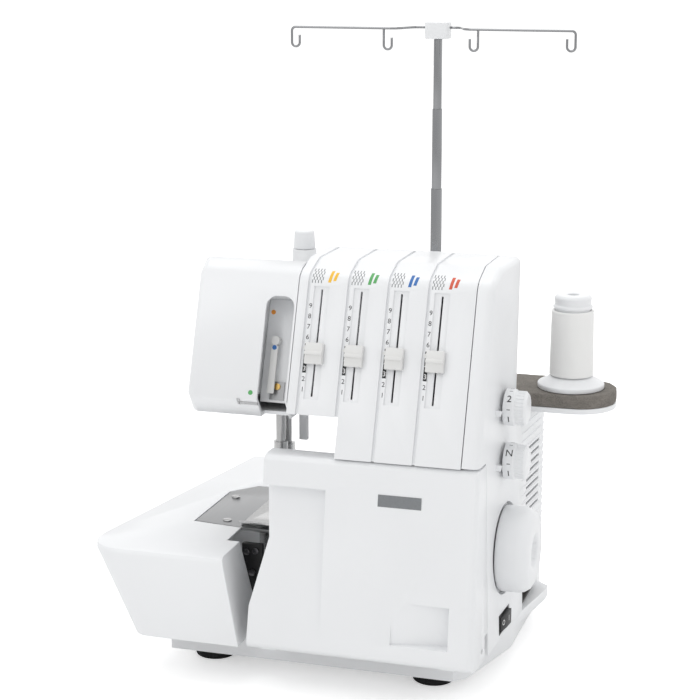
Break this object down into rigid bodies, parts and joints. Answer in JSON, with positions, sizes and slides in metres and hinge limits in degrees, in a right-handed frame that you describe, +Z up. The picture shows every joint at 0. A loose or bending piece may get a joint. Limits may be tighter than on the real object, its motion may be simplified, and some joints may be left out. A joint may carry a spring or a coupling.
{
  "type": "overlock sewing machine",
  "caption": "Domestic overlock sewing machine with sliding thread tensions, front looper cover, swing-away work plate, side dials and a telescopic thread mast.",
  "frame": {"origin": "on the table, under the middle of the machine's overall box", "axes": "+X to the machine's right (handwheel side), +Y to its back, +Z up"},
  "size_m": [0.358, 0.259, 0.463],
  "materials": {
    "white_plastic": "smooth, slightly glossy",
    "grey_plastic": "smooth",
    "black_plastic": "smooth",
    "rubber": "matt",
    "casting": "cast",
    "steel": "polished",
    "chrome": "bright",
    "bronze": "turned",
    "black_metal": "satin",
    "aluminium": "turned",
    "foam": "open cell foam",
    "thread": "spun thread",
    "spool_plastic": "moulded"
  },
  "bodies": {
    "machine": {"base_tray": "white_plastic", "bed_cover": "white_plastic", "column_cover": "white_plastic", "drive_belt": "rubber", "face_cover": "white_plastic", "gear_bracket": "black_metal", "lower_knife": "steel", "machine_frame": "casting", "mast_lower": "chrome", "motor": "black_metal", "motor_cover": "white_plastic", "needle_plate": "steel", "needle_plate_screws": "steel", "power_inlet": "black_plastic", "rear_cover": "white_plastic", "right_cover": "white_plastic", "rubber_feet": "rubber", "shaft_bushes": "bronze", "spool_pad": "foam", "spool_pins": "steel", "spool_stand": "white_plastic", "switch_case": "black_plastic", "take_up_guide": "steel", "tension_housing": "white_plastic", "tension_units": "steel"},
    "handwheel_shaft": {"main_shaft": "steel", "driven_pulley": "aluminium", "handwheel": "white_plastic"},
    "motor_rotor": {"motor_pulley": "aluminium"},
    "slider_1": {"tension_slider_1": "grey_plastic"},
    "slider_2": {"tension_slider_2": "grey_plastic"},
    "slider_3": {"tension_slider_3": "grey_plastic"},
    "slider_4": {"tension_slider_4": "grey_plastic"},
    "take_up": {"take_up_lever": "steel"},
    "pressure_control": {"pressure_dial": "white_plastic"},
    "work_plate": {"cloth_plate": "white_plastic"},
    "cover_carriage": {"looper_cover_hinge": "steel"},
    "front_cover": {"looper_cover": "white_plastic"},
    "needle_gear": {"needle_bar": "steel", "needles": "steel"},
    "presser": {"presser_bar": "steel", "presser_foot": "steel"},
    "lifter": {"presser_lifter": "grey_plastic"},
    "upper_looper_arm": {"upper_looper": "steel"},
    "lower_looper_arm": {"lower_looper": "steel"},
    "moving_knife": {"upper_knife": "steel"},
    "main_feed": {"main_feed_dog": "steel"},
    "differential_feed": {"differential_feed_dog": "steel"},
    "needle_rocker_shaft": {"needle_rocker": "steel"},
    "stitch_length": {"stitch_length_dial": "white_plastic"},
    "differential": {"differential_dial": "white_plastic"},
    "switch": {"power_rocker": "black_plastic"},
    "mast_middle_tube": {"mast_middle": "chrome"},
    "mast_upper_rod": {"mast_upper": "chrome"},
    "thread_guide": {"guide_head": "white_plastic", "guide_wires": "steel"},
    "spool": {"thread_spool": "spool_plastic", "thread_core": "thread", "thread_winding": "thread"}
  },
  "joints": [
    {"name": "handwheel_turn", "type": "hinge", "parent": "machine", "child": "handwheel_shaft", "pos_m": [0.0955, -0.04203, 0.095], "axis": [1, 0, 0], "continuous": true},
    {"name": "motor_turn", "type": "hinge", "parent": "machine", "child": "motor_rotor", "pos_m": [0.0955, 0.06497, 0.072], "axis": [1, 0, 0], "continuous": true},
    {"name": "tension_1", "type": "slide", "parent": "machine", "child": "slider_1", "axis": [0, 0.3355, 0.9421], "range_m": [-0.024, 0.04]},
    {"name": "tension_2", "type": "slide", "parent": "machine", "child": "slider_2", "axis": [0, 0.3355, 0.9421], "range_m": [-0.024, 0.04]},
    {"name": "tension_3", "type": "slide", "parent": "machine", "child": "slider_3", "axis": [0, 0.3355, 0.9421], "range_m": [-0.024, 0.04]},
    {"name": "tension_4", "type": "slide", "parent": "machine", "child": "slider_4", "axis": [0, 0.3355, 0.9421], "range_m": [-0.024, 0.04]},
    {"name": "take_up_swing", "type": "hinge", "parent": "machine", "child": "take_up", "pos_m": [-0.0495, -0.06398, 0.24121], "axis": [0, -0.9421, 0.3355], "range_deg": [-8, 8]},
    {"name": "pressure_turn", "type": "hinge", "parent": "machine", "child": "pressure_control", "pos_m": [-0.0472, -0.00903, 0.3], "axis": [0, 0, 1], "range_deg": [-180, 180]},
    {"name": "work_plate_swing", "type": "hinge", "parent": "machine", "child": "work_plate", "pos_m": [-0.0845, 0.12297, 0.084], "axis": [0, 0, 1], "range_deg": [-90, 0]},
    {"name": "front_cover_shift", "type": "slide", "parent": "machine", "child": "cover_carriage", "axis": [1, 0, 0], "range_m": [0, 0.004]},
    {"name": "front_cover_tip", "type": "hinge", "parent": "cover_carriage", "child": "front_cover", "pos_m": [0.0195, -0.10503, 0.04], "axis": [1, 0, 0], "range_deg": [0, 60]},
    {"name": "needle_stroke", "type": "slide", "parent": "machine", "child": "needle_gear", "axis": [0, 0, 1], "range_m": [-0.024, 0]},
    {"name": "lifter_swing", "type": "hinge", "parent": "machine", "child": "lifter", "pos_m": [-0.0475, -0.00203, 0.212], "axis": [0, 1, 0], "range_deg": [0, 35]},
    {"name": "presser_lift", "type": "slide", "parent": "machine", "child": "presser", "axis": [0, 0, 1], "range_m": [0, 0.006]},
    {"name": "upper_looper_swing", "type": "hinge", "parent": "machine", "child": "upper_looper_arm", "pos_m": [-0.0185, -0.03703, 0.068], "axis": [0, 1, 0], "range_deg": [-10, 10]},
    {"name": "lower_looper_swing", "type": "hinge", "parent": "machine", "child": "lower_looper_arm", "pos_m": [-0.0165, -0.02703, 0.05], "axis": [0, 1, 0], "range_deg": [-10, 10]},
    {"name": "knife_stroke", "type": "slide", "parent": "machine", "child": "moving_knife", "axis": [0, 0, 1], "range_m": [-0.004, 0.004]},
    {"name": "main_feed_stroke", "type": "slide", "parent": "machine", "child": "main_feed", "axis": [0, 1, 0], "range_m": [-0.002, 0.002]},
    {"name": "differential_feed_stroke", "type": "slide", "parent": "machine", "child": "differential_feed", "axis": [0, 1, 0], "range_m": [-0.002, 0.002]},
    {"name": "needle_rocker_swing", "type": "hinge", "parent": "machine", "child": "needle_rocker_shaft", "pos_m": [-0.0005, -0.05103, 0.246], "axis": [1, 0, 0], "range_deg": [-8, 8]},
    {"name": "stitch_length_turn", "type": "hinge", "parent": "machine", "child": "stitch_length", "pos_m": [0.11222, -0.04503, 0.2005], "axis": [1, 0, 0], "range_deg": [-135, 135]},
    {"name": "differential_turn", "type": "hinge", "parent": "machine", "child": "differential", "pos_m": [0.11316, -0.04603, 0.1615], "axis": [1, 0, 0], "range_deg": [-100, 100]},
    {"name": "switch_tip", "type": "hinge", "parent": "machine", "child": "switch", "pos_m": [0.11313, -0.04703, 0.042], "axis": [0, 0, 1], "range_deg": [0, 16]},
    {"name": "mast_middle_slide", "type": "slide", "parent": "machine", "child": "mast_middle_tube", "axis": [0, 0, 1], "range_m": [-0.055, 0]},
    {"name": "mast_upper_slide", "type": "slide", "parent": "mast_middle_tube", "child": "mast_upper_rod", "axis": [0, 0, 1], "range_m": [-0.045, 0]},
    {"name": "guide_turn", "type": "hinge", "parent": "mast_upper_rod", "child": "thread_guide", "pos_m": [0.04, 0.03997, 0.451], "axis": [0, 0, 1], "range_deg": [-90, 90]},
    {"name": "spool_lift", "type": "slide", "parent": "machine", "child": "spool", "axis": [0, 0, 1], "range_m": [0, 0.07]}
  ],
  "couplings": [
    {"joint": "motor_turn", "follows": "handwheel_turn", "ratio": 2.2963},
    {"joint": "lifter_swing", "follows": "presser_lift", "rad_per_m": 101.81},
    {"joint": "differential_feed_stroke", "follows": "main_feed_stroke", "ratio": 1}
  ]
}
